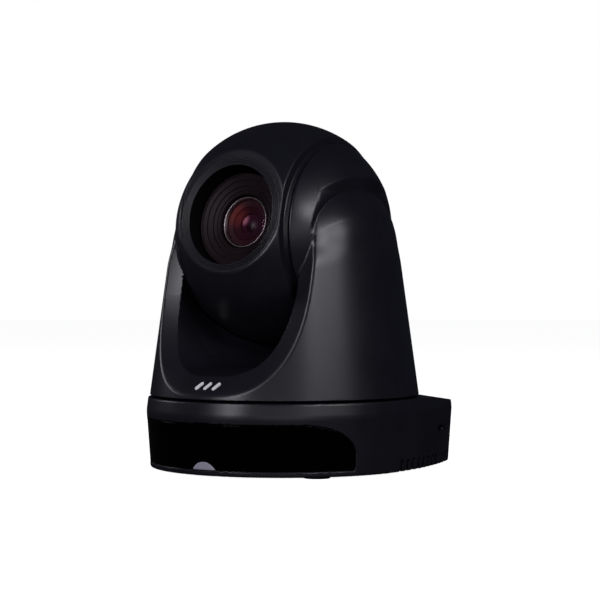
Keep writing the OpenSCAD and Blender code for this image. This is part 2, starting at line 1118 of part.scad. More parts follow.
// Half section of the head's skin: radius from the tilt axis against distance along it
module head_section() {
  r1 = head_r - 1;
  r2 = r1 - wall;
  x2 = head_rim - wall;
  polygon(concat(
    [[7.1, -head_rim]],
    skin_arc(r1, -head_rim, -head_half, 2),
    skin_arc(head_r, -head_half, head_half, 30),
    skin_arc(r1, head_half, head_rim, 2),
    [[7.1, head_rim], [7.1, x2]],
    skin_arc(r2, x2, -x2, 28),
    [[7.1, -x2]]
  ));
}

module head_shell() {
  difference() {
    along_x()
      rotate_extrude($fn = 128)
        head_section();
    rotate([90, 0, 0])
      translate([0, -lens_drop, 30]) {
        cylinder(h = 40, r = 28.6);
        translate([0, 0, lens_land - 30.4])
          cylinder(h = 20, r = 30.1);
      }
    translate([-90, -lens_land - 40, -90])
      cube([180, 40, 180]);
  }
}

module head_upper_shell() {
  color(plastic)
    tilt_frame()
      intersection() {
        head_shell();
        translate([-90, -90, seam])
          cube([180, 180, 90]);
      }
}

module head_lower_shell() {
  color(plastic)
    tilt_frame()
      intersection() {
        head_shell();
        translate([-90, -90, -90 - seam])
          cube([180, 180, 90]);
      }
}

module lens_hood() {
  color([0.05, 0.045, 0.06])
    lens_frame()
      rotate_extrude($fn = 128)
        polygon([
          [28.4, 47.8], [27.9, 47.8], [27.6, 47.3], [27.1, 47.3], [26.8, 46.9], [26.3, 46.9],
          [26, 46.5], [25.7, 46.5], [25.5, 46.2], [25.5, 33], [27.2, 33], [27.2, 45], [28.4, 45]
        ]);
}

module lens_barrel() {
  color([0.09, 0.07, 0.08])
    lens_frame()
      rotate_extrude($fn = 128)
        polygon(concat(
          [[24.4, 25], [24.4, 39.6], [24, 40], [23.2, 40]],
          [for (i = [0:9]) each [
            [23 - i, 39.4 - i * 0.44], [22.5 - i, 39.4 - i * 0.44],
            [22.3 - i, 39.15 - i * 0.44], [22.1 - i, 39.15 - i * 0.44]
          ]],
          [[13.3, 35], [13.3, 32.6], [10.6, 32.6], [10.6, 25]]
        ));
}

module lens_ring() {
  color([0.7, 0.7, 0.72])
    lens_frame()
      rotate_extrude($fn = 96)
        polygon([[13.2, 32.65], [13.2, 34.8], [12.9, 35.2], [12.1, 35.2], [11.8, 34.7], [11.8, 32.65]]);
}

module front_lens() {
  color([0.3, 0.05, 0.12, 0.6])
    lens_frame()
      intersection() {
        translate([0, 0, 32.65])
          cylinder(h = 6, r = 11.75);
        translate([0, 0, 35.3 - 30])
          sphere(30, $fn = 128);
      }
}

// Second element and the stepped ring that holds it
module inner_lens() {
  color([0.12, 0.02, 0.06])
    lens_frame()
      rotate_extrude($fn = 96)
        polygon(concat(
          [[0, 25.6], [10.5, 25.6], [10.5, 31], [9.6, 30.6], [9.6, 29.8], [8.4, 29.4], [8.4, 28.6], [7.2, 28.2]],
          [for (i = [0:8]) let (r = 7.2 * (1 - i / 8)) [r, 19.9 + sqrt(81 - r * r)]]
        ));
}

module camera_block() {
  color([0.08, 0.08, 0.09])
    lens_frame()
      difference() {
        translate([-22, -21, -29])
          cube([44, 42, 54]);
        translate([-20, -19, -27])
          cube([40, 38, 50]);
        translate([0, 0, 20])
          cylinder(h = 10, r = 10.6, $fn = 64);
        for (p = rod_points)
          translate([p[0], p[1], -40])
            cylinder(h = 80, r = 1, $fn = 24);
      }
}

rod_points = [[14, 11], [-14, -11]];
head_screw_points = [[-12, -10], [-12, 10]];

module guide_rods() {
  color(steel)
    lens_frame()
      for (p = rod_points)
        translate([p[0], p[1], -28.6])
          cylinder(h = 53.2, r = 1, $fn = 24);
}

module lens_cell(r, z, h) {
  difference() {
    union() {
      translate([0, 0, z])
        ring(h, r, r - 1.4);
      for (p = rod_points) {
        a = atan2(p[1], p[0]);
        rotate([0, 0, a])
          translate([r - 1, -1.6, z])
            cube([norm(p) - r + 1, 3.2, h]);
        translate([p[0], p[1], z])
          cylinder(h = h, r = 2.6, $fn = 48);
      }
    }
    for (p = rod_points)
      translate([p[0], p[1], z - 1])
        cylinder(h = h + 2, r = 1.05, $fn = 24);
  }
  intersection() {
    translate([0, 0, z + h / 2])
      cylinder(h = h, r = r - 1.4, center = true, $fn = 64);
    translate([0, 0, z + h / 2 - 16])
      sphere(17.5, $fn = 96);
  }
}

module zoom_group() {
  color([0.15, 0.16, 0.2])
    lens_frame()
      lens_cell(9.5, -2, 6);
}

module focus_group() {
  color([0.15, 0.16, 0.2])
    lens_frame()
      lens_cell(8, -20, 4);
}

module sensor_board() {
  color(board_green)
    lens_frame()
      translate([-17, -17, -31])
        cube([34, 34, 1.4]);
  color([0.03, 0.03, 0.035])
    lens_frame()
      translate([-6, -6, -32])
        cube([12, 12, 1]);
}

module head_frame() {
  color(steel)
    lens_frame() {
      for (s = [-1, 1])
        difference() {
          translate([s * 27.3 - 0.8, -16, -18])
            cube([1.6, 32, 36]);
          translate([s * 27.3, lens_drop, 0])
            along_x()
              cylinder(h = 4, r = 4.02, center = true, $fn = 48);
          for (p = head_screw_points)
            translate([s * 27.3, p[0], p[1]])
              along_x()
                cylinder(h = 4, r = 1.25, center = true, $fn = 24);
        }
      translate([-28.1, -23, -18])
        cube([56.2, 1.6, 36]);
      for (s = [-1, 1])
        translate([s * 27.3 - 0.8, -22, -18])
          cube([1.6, 7, 36]);
    }
}

module trunnion(s) {
  translate([s * 22.2, 0, tilt_z])
    rotate([0, s * 90, 0])
      difference() {
        union() {
          cylinder(h = 25.6, r = 5, $fn = 64);
          translate([0, 0, 6])
            cylinder(h = 9, r = 7, $fn = 64);
        }
        translate([0, 0, -1])
          cylinder(h = 40, r = 2.4, $fn = 32);
        translate([0, 0, -1])
          ring(7, 12, 4);
      }
}

module left_trunnion() {
  color([0.5, 0.51, 0.53])
    trunnion(-1);
}

module right_trunnion() {
  color([0.5, 0.51, 0.53])
    trunnion(1);
}

module tilt_pulley() {
  color([0.75, 0.74, 0.7])
    translate([-38, 0, tilt_z])
      rotate([0, -90, 0])
        pulley(tilt_teeth, 5.4, 5.02);
}

module head_screws() {
  color(steel)
    lens_frame()
      for (s = [-1, 1], p = head_screw_points)
        translate([s * 28.1, p[0], p[1]])
          rotate([0, s * 90, 0])
            screw(1.2, 3);
}

base_housing();
base_plate();
ir_window();
status_light_pipe();
ir_receiver();
rear_panel();
dc_jack();
hdmi_port();
usb_port();
lan_port();
serial_ports();
audio_jack();
main_board();
board_chips();
board_standoffs();
rubber_feet();
tripod_insert();
bracket_nuts();
base_screws();
lock_plate();
pan_deck();
pan_spindle();
pan_bearing_inner();
pan_fixed_pulley();
yoke_platform();
pan_bearing_outer();
pan_bearing_balls();
yoke_front_cover();
yoke_rear_cover();
left_frame();
right_frame();
pan_motor();
pan_motor_bracket();
pan_belt();
tilt_motor();
tilt_belt();
tilt_bearings();
driver_board();
yoke_screws();
badge();
pan_motor_pulley();
tilt_motor_pulley();
head_upper_shell();
head_lower_shell();
lens_hood();
lens_barrel();
lens_ring();
front_lens();
inner_lens();
camera_block();
guide_rods();
sensor_board();
head_frame();
left_trunnion();
right_trunnion();
tilt_pulley();
head_screws();
zoom_group();
focus_group();
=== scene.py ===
"""Desktop pan, tilt and zoom camera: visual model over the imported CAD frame."""

import json
import math

import bmesh
import bpy
import numpy as np
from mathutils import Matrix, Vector
from mathutils.geometry import delaunay_2d_cdt

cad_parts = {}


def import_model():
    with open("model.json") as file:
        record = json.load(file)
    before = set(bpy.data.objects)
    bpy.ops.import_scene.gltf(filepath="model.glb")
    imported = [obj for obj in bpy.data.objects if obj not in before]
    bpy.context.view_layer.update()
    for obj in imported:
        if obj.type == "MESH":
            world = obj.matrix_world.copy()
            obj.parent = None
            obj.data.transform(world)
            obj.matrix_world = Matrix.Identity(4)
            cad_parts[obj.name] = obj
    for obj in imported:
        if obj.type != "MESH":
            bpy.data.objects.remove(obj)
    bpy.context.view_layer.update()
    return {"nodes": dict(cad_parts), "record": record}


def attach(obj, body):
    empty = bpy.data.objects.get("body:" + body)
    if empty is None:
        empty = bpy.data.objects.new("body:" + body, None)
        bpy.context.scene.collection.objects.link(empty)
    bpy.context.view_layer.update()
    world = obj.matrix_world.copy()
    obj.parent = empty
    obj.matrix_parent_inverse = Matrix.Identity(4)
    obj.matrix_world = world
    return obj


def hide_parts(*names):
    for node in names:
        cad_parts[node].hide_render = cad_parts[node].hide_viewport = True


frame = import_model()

MM = 0.001

# ---- sizes, in millimetres, as in the CAD source ----

BASE_R, BASE_BACK, BASE_SIDE_R = 71.3, 75.0, 204.0
BASE_LINE_Z, BASE_TOP_Z, BASE_LEAN = 30.0, 37.0, 0.0724
BAND_LEAN, CROWN_R, CROWN_SLOPE = 0.13, 70.9, 0.158
BASE_BOTTOM_Z = 1.0
WALL = 2.2
WINDOW_DEPTH = 1.2
WINDOW_Z0, WINDOW_Z1, WINDOW_ARC = 3.9, 26.6, 80.9
VENT_COUNT, VENT_PITCH, VENT_Y = 11, 6.0, 3.5
ROTOR_Z, ROTOR_R, ROTOR_LEAN = 38.0, 69.55, 0.137
ROTOR_COSINE = 0.9907
PILLOW_FOOT_Z, PILLOW_EDGE = 100.0, 18.0
BAND_WIDTH, BAND_SPREAD, BAND_FOOT_Z, BAND_CLIMB = 1.8, 5.6, 119.0, 22.0
THROAT_OUTER, THROAT_INNER = 45.4, 35.3
TILT_Z, REST_PITCH = 121.0, 12.5
DOME_R, DOME_INNER, DOME_FOOT_Z = 56.5, 33.4, 94.0
ARM_Z, ARM_HALF, ARM_RISE = 115.0, 37.0, 27.0
CAP_Z, CAP_R, PILLOW = 110.0, 59.13, 1.9
HEAD_R, HEAD_HALF, HEAD_RIM, RIM_DROP = 57.58, 30.5, 32.6, 3.6
HEAD_GAP = 0.9
PIVOT_HOLE_R, TRUNNION_HOLE_R = 8.5, 7.1
LENS_LAND, LENS_DROP, BARREL_DROP = 47.95, 1.75, 2.5
LENS_HOLE_R = 28.55
SEAM_GAP = 0.06


# ---- implicit shapes: every function takes points (n, 3) in millimetres ----


def round_max(a, b, r):
    """Intersection of two shapes with a convex rounding of radius r."""
    corner = np.hypot(np.maximum(a + r, 0), np.maximum(b + r, 0))
    return np.minimum(-r, np.maximum(a, b)) + corner


def round_min(a, b, r):
    """Union of two shapes with a concave fillet of radius r."""
    return -round_max(-a, -b, r)


def box2(u, v, half_u, half_v, r):
    """Distance to a rounded rectangle."""
    du, dv = np.abs(u) - half_u + r, np.abs(v) - half_v + r
    return np.hypot(np.maximum(du, 0), np.maximum(dv, 0)) + np.minimum(np.maximum(du, dv), 0) - r


def base_plan(p):
    """Distance to the base's outline at its widest line."""
    x, y = np.abs(p[:, 0]), p[:, 1]
    front = np.hypot(x, y) - BASE_R
    side = np.hypot(x + BASE_SIDE_R - BASE_R, y) - BASE_SIDE_R
    return np.where(y < 0, front, round_max(side, y - BASE_BACK, 3.5))


def tilt_distance(p):
    """Distance from the point where the pan and tilt axes cross."""
    return np.hypot(np.hypot(p[:, 0], p[:, 1]), p[:, 2] - TILT_Z)


def base_solid(p):
    """The base's outer shape: leaning wall, chamfered band and a shallow crown."""
    z = p[:, 2]
    plan = base_plan(p)
    lower = plan + BASE_LEAN * (BASE_LINE_Z - z)
    band = plan + BAND_LEAN * (z - BASE_LINE_Z)
    top = z - BASE_TOP_Z + CROWN_SLOPE * np.maximum(np.hypot(p[:, 0], p[:, 1]) - CROWN_R, 0)
    body = round_max(round_max(lower, band, 0.3), top, 0.5)
    return round_max(body, BASE_BOTTOM_Z - z, 0.9)


def window_outline(p, grow):
    """Distance to the window's outline, measured along the front wall and up it."""
    z = p[:, 2]
    s = BASE_R * np.arctan2(np.abs(p[:, 0]), -p[:, 1])
    mid = (WINDOW_Z0 + WINDOW_Z1) / 2
    half = (WINDOW_Z1 - WINDOW_Z0) / 2
    plain = box2(s, z - mid, WINDOW_ARC, half, 1.6)
    ru, rv = 29.0, 15.0
    u, v = (s - WINDOW_ARC + ru) / ru, (z - WINDOW_Z1 + rv) / rv
    k = np.hypot(u, v)
    slope = np.hypot(u / ru, v / rv) / np.maximum(k, 1e-6)
    corner = (k - 1) / np.maximum(slope, 1e-6)
    return np.where((u > 0) & (v > 0), np.maximum(corner, plain), plain) - grow


def light_tab(p, grow):
    """Outline of the light pipe, a segment of a disc at the window's foot."""
    x, z = p[:, 0], p[:, 2]
    disc = np.hypot(x, z - WINDOW_Z0 + 4.1) - 8.1
    return np.maximum(disc, WINDOW_Z0 - z) - grow


def base_housing(p):
    """The base's shell with its window recess, vents, lock slot, rear panel and round opening."""
    x, y, z = p[:, 0], p[:, 1], p[:, 2]
    solid = base_solid(p)
    window = np.maximum(window_outline(p, 0.0), y + 20)
    recess = np.maximum(window, -(solid + WINDOW_DEPTH + 0.05))
    body = round_max(solid, -recess, 0.15)
    wall = WALL + 1.0 * np.clip(-(y + 14) / 8, 0, 1)
    inside = np.maximum(solid + wall, z - 31.5)
    body = np.maximum(body, -inside)
    nearest = np.clip(np.round((y - VENT_Y) / VENT_PITCH), 0, VENT_COUNT - 1)
    slot_y = y - VENT_Y - VENT_PITCH * nearest
    vents = np.maximum(box2(slot_y, z, 1.2, 6.8, 0.8), 50 - np.abs(x))
    body = round_max(body, -vents, 0.25)
    lock = np.maximum(box2(y - 49.5, z - 19.9, 4.0, 1.6, 1.5), 45 - x)
    dimple = np.maximum(np.maximum(box2(y - 57.1, z - 19.9, 2.3, 1.1, 1.0), 45 - x), -(solid + 0.6))
    body = round_max(body, -np.minimum(lock, dimple), 0.3)
    panel = np.maximum(box2(x, z - 15, 47.0, 10.6, 1.5), 66 - y)
    body = round_max(body, -panel, 0.3)
    return round_max(body, 27 - np.hypot(x, y), 0.3)


def rotor_radius(z):
    """Radius of the rotor's cone."""
    return ROTOR_R - ROTOR_LEAN * (z - ROTOR_Z)


def superellipse(x, z, a, z0, zc, n):
    """Distance to a U-shaped opening: half width a, lowest point z0, straight above zc."""
    u = np.abs(x) / a
    v = np.maximum(zc - z, 0) / (zc - z0)
    k = np.maximum((u**n + v**n) ** (1 / n), 1e-3)
    slope = np.hypot((u / k) ** (n - 1) / a, (v / k) ** (n - 1) / (zc - z0))
    return (k - 1) / np.maximum(slope, 1e-4)


def throat(p):
    """The opening between the arms: a bevelled mouth at each end and a channel that rises to the middle.

    e runs across the mouth's bevel; f, g and h run along three stretches of the channel.
    """
    x, y, z = p[:, 0], -np.abs(p[:, 1]), p[:, 2]
    depth = rotor_radius(z) - np.hypot(x, y)
    mouth_depth = 6 + 2 * np.clip((z - 49) / 40, 0, 1)
    t = depth / mouth_depth
    e = np.maximum(-round_max(-t, -1, 0.25), -3)
    inner_y = -np.sqrt(np.maximum((rotor_radius(z) - mouth_depth) ** 2 - np.minimum(x**2, 36.0**2), 1))
    f = np.clip((y - inner_y) / (-34 - inner_y), 0, 1)
    g = np.clip((y + 34) / 14, 0, 1)
    h = np.clip((y + 20) / 12, 0, 1)
    a = THROAT_OUTER + (THROAT_INNER + 0.7 - THROAT_OUTER) * e - 0.4 * f - 0.3 * g
    z0 = 40 + 9.5 * e + 5.1 * f + 5.0 * g + 2.1 * h
    zc = 108 + 6 * f + 4 * g + 3 * h
    n = 3.1 + 0.1 * f - 0.3 * g - 0.9 * h
    return superellipse(x, z, a, z0, zc, n)


def arm_edge(p):
    """Distance outside the arm's raised top, seen from the side."""
    n = 2.2
    y, z = np.abs(p[:, 1]), p[:, 2] - ARM_Z
    below = y - ARM_HALF - 0.1 * np.minimum(z, 0) ** 2
    u, v = y / ARM_HALF, np.maximum(z, 0) / ARM_RISE
    k = np.maximum((u**n + v**n) ** (1 / n), 1e-6)
    slope = np.hypot((u / k) ** (n - 1) / ARM_HALF, (v / k) ** (n - 1) / ARM_RISE)
    above = (k - 1) / np.maximum(slope, 1e-6)
    return np.where(z > 0, above, below)


def rotor_skin(p):
    """The rotor's outside: two arms with cushioned tops, and a hollow band where each drops to its dome."""
    z = p[:, 2]
    rho = np.hypot(p[:, 0], p[:, 1])
    cone = (rho - rotor_radius(z)) * ROTOR_COSINE
    cap = np.hypot(rho, z - CAP_Z) - CAP_R
    arm = np.where(z - CAP_Z > ROTOR_LEAN * rho, cap, cone)
    dome = np.hypot(rho, z - TILT_Z) - DOME_R
    edge = arm_edge(p)
    rise = np.clip((z - PILLOW_FOOT_Z) / BAND_CLIMB, 0, 1)
    pillow = np.clip(1 + edge / PILLOW_EDGE, 0, 1) ** 2 * rise**2 * (3 - 2 * rise)
    band = BAND_WIDTH + BAND_SPREAD * np.clip((z - BAND_FOOT_Z) / BAND_CLIMB, 0, 1) ** 2
    fade = np.clip(1 - edge / band, 0, 1) ** 1.2
    return dome + (arm + PILLOW * pillow - dome) * fade


def domes(p, inset):
    """The two domes beside the head's slot, hollowed round the top of each arm."""
    dome = np.maximum(tilt_distance(p) - DOME_R, rotor_skin(p)) + inset
    slot = DOME_INNER + inset - np.abs(p[:, 0])
    edge_r = 1.7 if inset == 0 else 0.2
    return np.maximum(round_max(dome, slot, edge_r), DOME_FOOT_Z + inset - p[:, 2])


def head_room(p):
    """Room for the head between the arms."""
    return np.maximum(tilt_distance(p) - HEAD_R - HEAD_GAP, np.abs(p[:, 0]) - THROAT_INNER)


def yoke_solid(p):
    """The rotor's outer shape, solid inside."""
    arms = round_max(rotor_skin(p), -np.minimum(throat(p), head_room(p)), 0.9)
    body = round_min(arms, domes(p, 0), 0.4)
    return round_max(body, ROTOR_Z - p[:, 2], 0.5)


def yoke_covers(p):
    """Both halves of the rotor's skin, before they are cut apart."""
    depth = rotor_radius(p[:, 2]) - np.hypot(p[:, 0], p[:, 1])
    wall = WALL + 1.6 * np.clip((12 - depth) / 4, 0, 1)
    hollow = np.maximum(rotor_skin(p) + WALL, wall - np.minimum(throat(p), head_room(p)))
    hollow = np.minimum(hollow, domes(p, WALL))
    body = np.maximum(yoke_solid(p), -hollow)
    pivot = PIVOT_HOLE_R - np.hypot(p[:, 1], p[:, 2] - TILT_Z)
    return np.where(np.abs(p[:, 0]) < 42, np.maximum(body, pivot), body)


def head_points(p):
    """Points turned into the head's level pose about the tilt axis."""
    c, s = math.cos(math.radians(REST_PITCH)), math.sin(math.radians(REST_PITCH))
    y, z = p[:, 1], p[:, 2] - TILT_Z
    return np.stack([p[:, 0], c * y - s * z, s * y + c * z], 1)


def head_shells(p):
    """Both halves of the head's shell, before they are cut apart."""
    q = head_points(p)
    x = np.abs(q[:, 0])
    r = np.sqrt((q**2).sum(1))
    lens = np.hypot(q[:, 0], q[:, 2] + LENS_DROP)
    land = -q[:, 1] - LENS_LAND
    skin = round_max(round_max(r - HEAD_R, x - HEAD_HALF, 0.5), land, 0.5)
    rim = round_max(r - HEAD_R + RIM_DROP, x - HEAD_RIM, 0.6)
    solid = round_min(skin, np.maximum(rim, land + 3), 0.3)
    hollow = np.maximum(r - HEAD_R + RIM_DROP + WALL, x - HEAD_RIM + WALL)
    body = np.maximum(solid, -np.maximum(hollow, -q[:, 1] - 45.8))
    body = np.maximum(body, -np.maximum(lens - LENS_HOLE_R, q[:, 1]))
    return round_max(body, TRUNNION_HOLE_R - np.hypot(q[:, 1], q[:, 2]), 0.3)


# ---- turning an implicit shape into a mesh ----

CORNERS = np.array([[i, j, k] for i in (0, 1) for j in (0, 1) for k in (0, 1)])
CELL_EDGES = [
    (a, b) for a in range(8) for b in range(a + 1, 8) if abs(CORNERS[a] - CORNERS[b]).sum() == 1
]


def sample(shape, low, size, cell):
    """Values of shape on a grid, worked out only in the blocks that its surface may cross."""
    block, batch = 8, 600
    blocks = -(-(size - 1) // block)
    size = blocks * block + 1
    starts = np.stack(np.meshgrid(*[np.arange(n) for n in blocks], indexing="ij"), -1)
    starts = starts.reshape(-1, 3) * block
    centre = shape(low + (starts + block / 2) * cell)
    far = np.abs(centre) > block * cell * 1.15
    grid = np.empty(size, np.float32)
    for start, value in zip(starts, centre):
        i, j, k = start
        grid[i : i + block + 1, j : j + block + 1, k : k + block + 1] = value
    local = np.stack(np.meshgrid(*[np.arange(block + 1)] * 3, indexing="ij"), -1).reshape(-1, 3)
    keep = starts[~far]
    for i in range(0, len(keep), batch):
        part = keep[i : i + batch]
        points = (part[:, None, :] + local[None]).reshape(-1, 3)
        grid[points[:, 0], points[:, 1], points[:, 2]] = shape(low + points * cell)
    return grid


def surface_net(grid):
    """Vertices in grid units and quads of the zero surface of grid."""
    inside = grid < 0
    size = np.array(grid.shape)
    count = sum(
        inside[i : size[0] - 1 + i, j : size[1] - 1 + j, k : size[2] - 1 + k].astype(np.int8)
        for i, j, k in CORNERS
    )
    cells = np.argwhere((count > 0) & (count < 8))
    values = np.stack([grid[tuple((cells + c).T)] for c in CORNERS], 1)
    total = np.zeros((len(cells), 3))
    hits = np.zeros(len(cells))
    for a, b in CELL_EDGES:
        va, vb = values[:, a], values[:, b]
        cross = (va < 0) != (vb < 0)
        t = np.where(cross, va / np.where(cross, va - vb, 1), 0)[:, None]
        total += np.where(cross[:, None], CORNERS[a] + (CORNERS[b] - CORNERS[a]) * t, 0)
        hits += cross
    verts = cells + total / hits[:, None]
    index = np.full(size - 1, -1, np.int32)
    index[tuple(cells.T)] = np.arange(len(cells))
    quads = []
    for axis in range(3):
        u, v = (axis + 1) % 3, (axis + 2) % 3
        a = np.take(inside, np.arange(size[axis] - 1), axis)
        b = np.take(inside, np.arange(1, size[axis]), axis)
        at = np.argwhere(a != b)
        at = at[(at[:, u] > 0) & (at[:, v] > 0) & (at[:, u] < size[u] - 1) & (at[:, v] < size[v] - 1)]
        du, dv = np.eye(3, dtype=int)[u], np.eye(3, dtype=int)[v]
        ring = [index[tuple((at - o).T)] for o in (0 * du, du, du + dv, dv)]
        quad = np.stack(ring, 1)
        flip = ~a[tuple(at.T)]
        quad[flip] = quad[flip][:, ::-1]
        quads.append(quad)
    return verts, np.concatenate(quads)


def slopes(shape, points, h=0.02):
    """Gradient of shape at each point."""
    grads = [
        (shape(points + h * np.eye(3)[i]) - shape(points - h * np.eye(3)[i])) / (2 * h) for i in range(3)
    ]
    return np.stack(grads, 1)


def implicit_mesh(name, shape, low, high, cell):
    """A smooth mesh of shape between two corners, in millimetres, moved onto the exact surface."""
    low = np.array(low, float) - 2 * cell
    size = np.ceil((np.array(high) + 2 * cell - low) / cell).astype(int) + 1
    verts, quads = surface_net(sample(shape, low, size, cell))
    points = low + verts * cell
    for _ in range(2):
        grad = slopes(shape, points)
        step = shape(points)[:, None] * grad / np.maximum((grad**2).sum(1), 0.2)[:, None]
        points -= np.clip(step, -0.5 * cell, 0.5 * cell)
    normals = slopes(shape, points)
    normals /= np.maximum(np.linalg.norm(normals, axis=1), 1e-6)[:, None]
    return build(name, points * MM, quads, normals)


def build(name, points, faces, normals=None):
    """A smooth-shaded object from points in metres."""
    mesh = bpy.data.meshes.new(name)
    mesh.from_pydata(np.asarray(points).tolist(), [], np.asarray(faces).tolist())
    mesh.update()
    mesh.polygons.foreach_set("use_smooth", [True] * len(mesh.polygons))
    if normals is not None:
        mesh.normals_split_custom_set_from_vertices(normals.tolist())
    obj = bpy.data.objects.new(name, mesh)
    bpy.context.scene.collection.objects.link(obj)
    return obj


def sides(tri):
    """The three edges of a triangle, each as a sorted pair."""
    return [tuple(sorted(pair)) for pair in zip(tri, tri[1:] + tri[:1])]


def fill_end(bm, outward):
    """Close the flat rim left by a cut. Outlines may be nested: triangles inside an odd number are kept."""
    rim = [e for e in bm.edges if e.is_boundary]
    verts = list(dict.fromkeys(v for e in rim for v in e.verts))
    bmesh.ops.remove_doubles(bm, verts=verts, dist=5e-5 * MM)
    rim = [e for e in bm.edges if e.is_boundary]
    verts = list(dict.fromkeys(v for e in rim for v in e.verts))
    place = {v: i for i, v in enumerate(verts)}
    across = Vector((1, 0, 0))
    along = outward.cross(across)
    flat = [Vector((v.co.dot(across), v.co.dot(along))) / MM for v in verts]
    edges = [(place[e.verts[0]], place[e.verts[1]]) for e in rim]
    made = delaunay_2d_cdt(flat, edges, [], 0, 1e-5, True)
    walls = {tuple(sorted(e)) for e, source in zip(made[1], made[4]) if source}
    triangles = [list(face) for face in made[2]]
    owners = {}
    for t, tri in enumerate(triangles):
        for pair in sides(tri):
            owners.setdefault(pair, []).append(t)
    inside = {on[0]: pair in walls for pair, on in owners.items() if len(on) == 1}
    queue = list(inside)
    while queue:
        t = queue.pop()
        for pair in sides(triangles[t]):
            for other in owners[pair]:
                if other not in inside:
                    inside[other] = inside[t] != (pair in walls)
                    queue.append(other)
    for t, tri in enumerate(triangles):
        if inside[t]:
            face = bm.faces.new([verts[made[3][i][0]] for i in tri])
            face.normal_update()
            if face.normal.dot(outward) < 0:
                face.normal_flip()
            face.material_index = 1


def cut_apart(whole, shape, names, point, normal):
    """Two closed halves of a mesh, a gap each side of a plane, with flat ends and the skin's own normals."""
    halves = {}
    for name, side in zip(names, (1, -1)):
        bm = bmesh.new()
        bm.from_mesh(whole.data)
        away = side * Vector(normal)
        at = (Vector(point) + away * SEAM_GAP) * MM
        geom = bm.verts[:] + bm.edges[:] + bm.faces[:]
        bmesh.ops.bisect_plane(bm, geom=geom, dist=1e-8, plane_co=at, plane_no=away, clear_inner=True)
        fill_end(bm, -away)
        mesh = bpy.data.meshes.new(name)
        bm.to_mesh(mesh)
        bm.free()
        halves[name] = finish_half(mesh, name, shape, -away)
    bpy.data.objects.remove(whole)
    return halves


def finish_half(mesh, name, shape, end_normal):
    """An object whose skin has the shape's own normals and whose cut end is flat."""
    points = np.empty(len(mesh.vertices) * 3)
    mesh.vertices.foreach_get("co", points)
    normals = slopes(shape, points.reshape(-1, 3) / MM)
    normals /= np.maximum(np.linalg.norm(normals, axis=1), 1e-6)[:, None]
    corner = np.empty(len(mesh.loops), np.int32)
    mesh.loops.foreach_get("vertex_index", corner)
    ends = np.empty(len(mesh.polygons), np.int32)
    mesh.polygons.foreach_get("material_index", ends)
    sizes = np.empty(len(mesh.polygons), np.int32)
    mesh.polygons.foreach_get("loop_total", sizes)
    on_end = np.repeat(ends, sizes).astype(bool)
    by_corner = normals[corner]
    by_corner[on_end] = end_normal
    mesh.polygons.foreach_set("use_smooth", [True] * len(mesh.polygons))
    mesh.polygons.foreach_set("material_index", [0] * len(mesh.polygons))
    mesh.normals_split_custom_set(by_corner.tolist())
    obj = bpy.data.objects.new(name, mesh)
    bpy.context.scene.collection.objects.link(obj)
    return obj


def revolve(name, profile, steps, drop):
    """A closed profile of (radius, distance along the lens axis) turned about the lens axis."""
    tilt = math.radians(REST_PITCH)
    out = np.array([0, -math.cos(tilt), math.sin(tilt)])
    up = np.array([0, math.sin(tilt), math.cos(tilt)])
    angles = np.arange(steps) * 2 * math.pi / steps
    r, d = np.array(profile).T
    ring = np.cos(angles)[:, None] * np.array([1.0, 0, 0]) + np.sin(angles)[:, None] * up
    centre = np.array([0, 0, TILT_Z]) - drop * up
    points = r[None, :, None] * ring[:, None, :] + d[None, :, None] * out + centre
    n = len(profile)
    i, k = np.meshgrid(np.arange(steps), np.arange(n), indexing="ij")
    j, m = (i + 1) % steps, (k + 1) % n
    quads = np.stack([i * n + k, i * n + m, j * n + m, j * n + k], -1).reshape(-1, 4)
    return close_axis(build(name, points.reshape(-1, 3) * MM, quads))


def close_axis(obj):
    """Merge the points that lie on the lens axis and keep sharp profile corners sharp."""
    bm = bmesh.new()
    bm.from_mesh(obj.data)
    bmesh.ops.remove_doubles(bm, verts=bm.verts, dist=1e-6)
    bmesh.ops.recalc_face_normals(bm, faces=bm.faces)
    for edge in bm.edges:
        edge.smooth = len(edge.link_faces) == 2 and edge.calc_face_angle(0) < math.radians(28)
    bm.to_mesh(obj.data)
    bm.free()
    return obj


def arc(r0, d0, radius, r_from, r_to, steps, sign=1):
    """Points of a circle centred at (r0, d0), from radius r_from to r_to."""
    points = []
    for i in range(steps + 1):
        r = r_from + (r_to - r_from) * i / steps
        points.append((r, d0 + sign * math.sqrt(max(radius**2 - (r - r0) ** 2, 0))))
    return points


def softened(profile, cut):
    """The same closed profile with each corner cut by a small bevel."""
    points = np.array(profile, float)
    out = []
    for a, b, c in zip(np.roll(points, 1, 0), points, np.roll(points, -1, 0)):
        for other in (a, c):
            gap = np.linalg.norm(other - b)
            out.append(tuple(b + (other - b) * min(cut / max(gap, 1e-9), 0.4)))
    return out


def hood_profile():
    """A flat land with fine turned grooves, lapped over the shell's opening."""
    land, groove = 48.2, 0.28
    points = [(28.4, 45.0), (28.4, 47.97), (29.95, 47.97), (29.7, land)]
    for r in (29.0, 28.15, 27.3, 26.45):
        points += [(r + 0.24, land), (r, land - groove), (r - 0.1, land - groove), (r - 0.22, land)]
    points += [(25.9, land), (25.62, land - 0.12), (25.5, land - 0.4)]
    return points + [(25.5, 47.4), (27.2, 47.4), (27.2, 45.0)]


def wall_profile():
    """The tube between the hood and the barrel."""
    return [(25.5, 47.35), (25.5, 33.0), (26.6, 33.0), (26.6, 47.35)]


